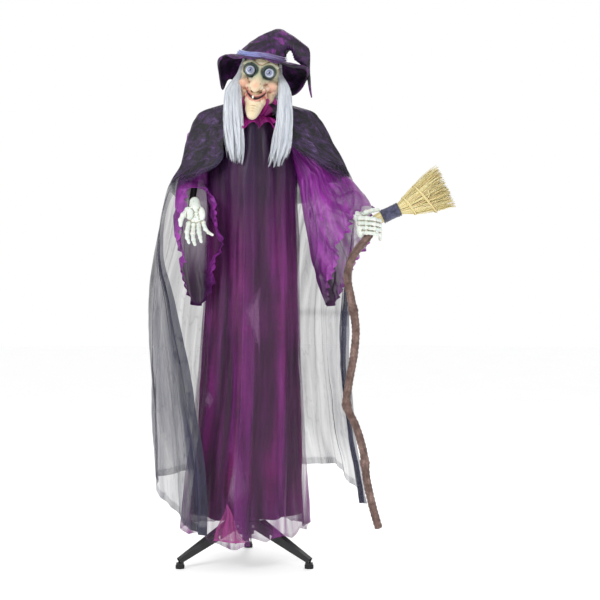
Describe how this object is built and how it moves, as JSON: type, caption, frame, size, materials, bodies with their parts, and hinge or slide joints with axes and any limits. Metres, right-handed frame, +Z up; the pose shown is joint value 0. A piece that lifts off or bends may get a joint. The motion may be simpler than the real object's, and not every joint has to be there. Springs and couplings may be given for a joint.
{
  "type": "animated witch figure",
  "caption": "Life-size standing witch on a folding tripod pole stand, in hat, robe and cape, holding a broom; the head and waist are motor driven and the arms are posable.",
  "frame": {"origin": "on the floor, at the axis of the stand's pole", "axes": "+Z up along the pole, the figure faces -Y, +X is on the figure's left"},
  "size_m": [0.9922, 0.532, 1.7856],
  "materials": {
    "leg_paint": "satin black paint",
    "pole_steel": "gloss black paint",
    "zinc": "zinc plated",
    "black_plastic": "moulded, fine grain",
    "white_plastic": "moulded",
    "gear_plastic": "natural acetal",
    "rubber": "matt",
    "board": "solder mask",
    "cell_wrap": "shrink wrap",
    "face_vinyl": "painted vinyl",
    "hand_vinyl": "painted vinyl",
    "eye_glass": "polished",
    "hair": "synthetic fibre",
    "hat_velvet": "crushed velvet",
    "band_satin": "satin",
    "robe_organza": "sheer over lining",
    "sleeve_velvet": "crushed velvet",
    "cape_tulle": "net",
    "ruff_organza": "gathered",
    "bark_wrap": "wrinkled wrap",
    "broom_collar": "wound cord",
    "straw": "dry straw"
  },
  "bodies": {
    "stand": {"base_hub": "leg_paint", "leg_pins": "zinc", "lower_pole": "pole_steel", "pole_collar": "black_plastic", "upper_pole": "pole_steel", "waist_gear": "gear_plastic", "battery_box": "black_plastic", "battery_cells": "cell_wrap", "dress_skirt": "robe_organza"},
    "clamp_knob": {"hub_clamp_knob": "black_plastic"},
    "leg_front_left": {"leg_front_left": "leg_paint", "foot_pad_front_left": "rubber"},
    "leg_front_right": {"leg_front_right": "leg_paint", "foot_pad_front_right": "rubber"},
    "leg_rear": {"leg_rear": "leg_paint", "foot_pad_rear": "rubber"},
    "pole_button": {"snap_button": "black_plastic"},
    "battery_door": {"battery_door": "black_plastic"},
    "switch": {"power_switch": "black_plastic"},
    "torso": {"waist_bearing": "white_plastic", "waist_motor": "zinc", "torso_front_shell": "black_plastic", "torso_rear_shell": "black_plastic", "shoulder_bar": "zinc", "torso_spine": "zinc", "control_board": "board", "speaker": "black_plastic", "neck_motor": "zinc", "neck_bush": "white_plastic", "dress_bodice": "robe_organza", "neck_ruff": "ruff_organza", "cape": "cape_tulle"},
    "waist_pinion": {"waist_pinion": "gear_plastic"},
    "neck_pinion": {"neck_pinion": "gear_plastic"},
    "head": {"neck_tube": "white_plastic", "neck_gear": "gear_plastic", "skull_shell": "white_plastic", "face_mask": "face_vinyl", "eye_right": "eye_glass", "eye_left": "eye_glass", "hair_right_lock": "hair", "hair_left_lock": "hair", "hair_back": "hair", "hat_crown": "hat_velvet", "hat_band": "band_satin", "hat_brim": "hat_velvet"},
    "upper_arm_right": {"upper_arm_right": "black_plastic", "sleeve_upper_right": "sleeve_velvet"},
    "forearm_right": {"forearm_right": "black_plastic", "sleeve_bell_right": "sleeve_velvet"},
    "hand_right": {"hand_right": "hand_vinyl"},
    "upper_arm_left": {"upper_arm_left": "black_plastic", "sleeve_upper_left": "sleeve_velvet"},
    "forearm_left": {"forearm_left": "black_plastic", "sleeve_bell_left": "sleeve_velvet"},
    "hand_left": {"hand_left": "hand_vinyl", "broom_handle": "bark_wrap", "broom_collar": "broom_collar", "broom_bristles": "straw", "broom_ties": "straw"}
  },
  "joints": [
    {"name": "waist_turn", "type": "hinge", "parent": "stand", "child": "torso", "pos_m": [0, 0, 1], "axis": [0, 0, 1], "range_deg": [-20, 20]},
    {"name": "waist_pinion_spin", "type": "hinge", "parent": "torso", "child": "waist_pinion", "pos_m": [0, 0.039, 0.99], "axis": [0, 0, 1], "range_deg": [-70, 70]},
    {"name": "head_turn", "type": "hinge", "parent": "torso", "child": "head", "pos_m": [0.03, -0.038, 1.5], "axis": [0, 0, 1], "range_deg": [-30, 30], "deforming": ["hair_right_lock", "hair_left_lock"]},
    {"name": "neck_pinion_spin", "type": "hinge", "parent": "torso", "child": "neck_pinion", "pos_m": [0.0045, -0.038, 1.454], "axis": [0, 0, 1], "range_deg": [-75, 75]},
    {"name": "right_shoulder", "type": "hinge", "parent": "torso", "child": "upper_arm_right", "pos_m": [-0.152, 0, 1.425], "axis": [1, 0, 0], "range_deg": [-25, 10], "deforming": ["sleeve_upper_right"]},
    {"name": "right_elbow", "type": "hinge", "parent": "upper_arm_right", "child": "forearm_right", "pos_m": [-0.19, 0.025, 1.18], "axis": [-0.9839, -0.1087, 0.1415], "range_deg": [-25, 25], "deforming": ["sleeve_bell_right"]},
    {"name": "right_wrist", "type": "hinge", "parent": "forearm_right", "child": "hand_right", "pos_m": [-0.157, -0.232, 1.212], "axis": [0.1264, -0.9844, 0.1226], "range_deg": [-25, 25]},
    {"name": "left_shoulder", "type": "hinge", "parent": "torso", "child": "upper_arm_left", "pos_m": [0.192, 0, 1.425], "axis": [1, 0, 0], "range_deg": [-20, 5], "deforming": ["sleeve_upper_left", "cape"]},
    {"name": "left_elbow", "type": "hinge", "parent": "upper_arm_left", "child": "forearm_left", "pos_m": [0.29, -0.03, 1.215], "axis": [-0.855, -0.3885, -0.3435], "range_deg": [-8, 15], "deforming": ["sleeve_bell_left"]},
    {"name": "left_wrist", "type": "hinge", "parent": "forearm_left", "child": "hand_left", "pos_m": [0.372, -0.176, 1.176], "axis": [0.4769, -0.8492, -0.2268], "range_deg": [-8, 8]},
    {"name": "leg_front_left_fold", "type": "hinge", "parent": "stand", "child": "leg_front_left", "pos_m": [0.03637, -0.021, 0.125], "axis": [0.5, 0.866, 0], "range_deg": [0, 55]},
    {"name": "leg_front_right_fold", "type": "hinge", "parent": "stand", "child": "leg_front_right", "pos_m": [-0.03637, -0.021, 0.125], "axis": [0.5, -0.866, 0], "range_deg": [0, 55]},
    {"name": "leg_rear_fold", "type": "hinge", "parent": "stand", "child": "leg_rear", "pos_m": [0, 0.042, 0.125], "axis": [-1, 0, 0], "range_deg": [0, 55]},
    {"name": "clamp_knob_turn", "type": "hinge", "parent": "stand", "child": "clamp_knob", "pos_m": [0.03464, 0.02, 0.15], "axis": [0.866, 0.5, 0], "range_deg": [-360, 0]},
    {"name": "pole_button_press", "type": "slide", "parent": "stand", "child": "pole_button", "axis": [0, 1, 0], "range_m": [0, 0.0026], "stiffness_N_per_m": 900},
    {"name": "battery_door_swing", "type": "hinge", "parent": "stand", "child": "battery_door", "pos_m": [0, 0.0596, 0.301], "axis": [-1, 0, 0], "range_deg": [0, 70]},
    {"name": "switch_rock", "type": "hinge", "parent": "stand", "child": "switch", "pos_m": [0, 0.036, 0.4085], "axis": [1, 0, 0], "range_deg": [-7, 7]}
  ],
  "couplings": [
    {"joint": "waist_pinion_spin", "follows": "waist_turn", "ratio": 3.3333},
    {"joint": "neck_pinion_spin", "follows": "head_turn", "ratio": -2.4}
  ]
}
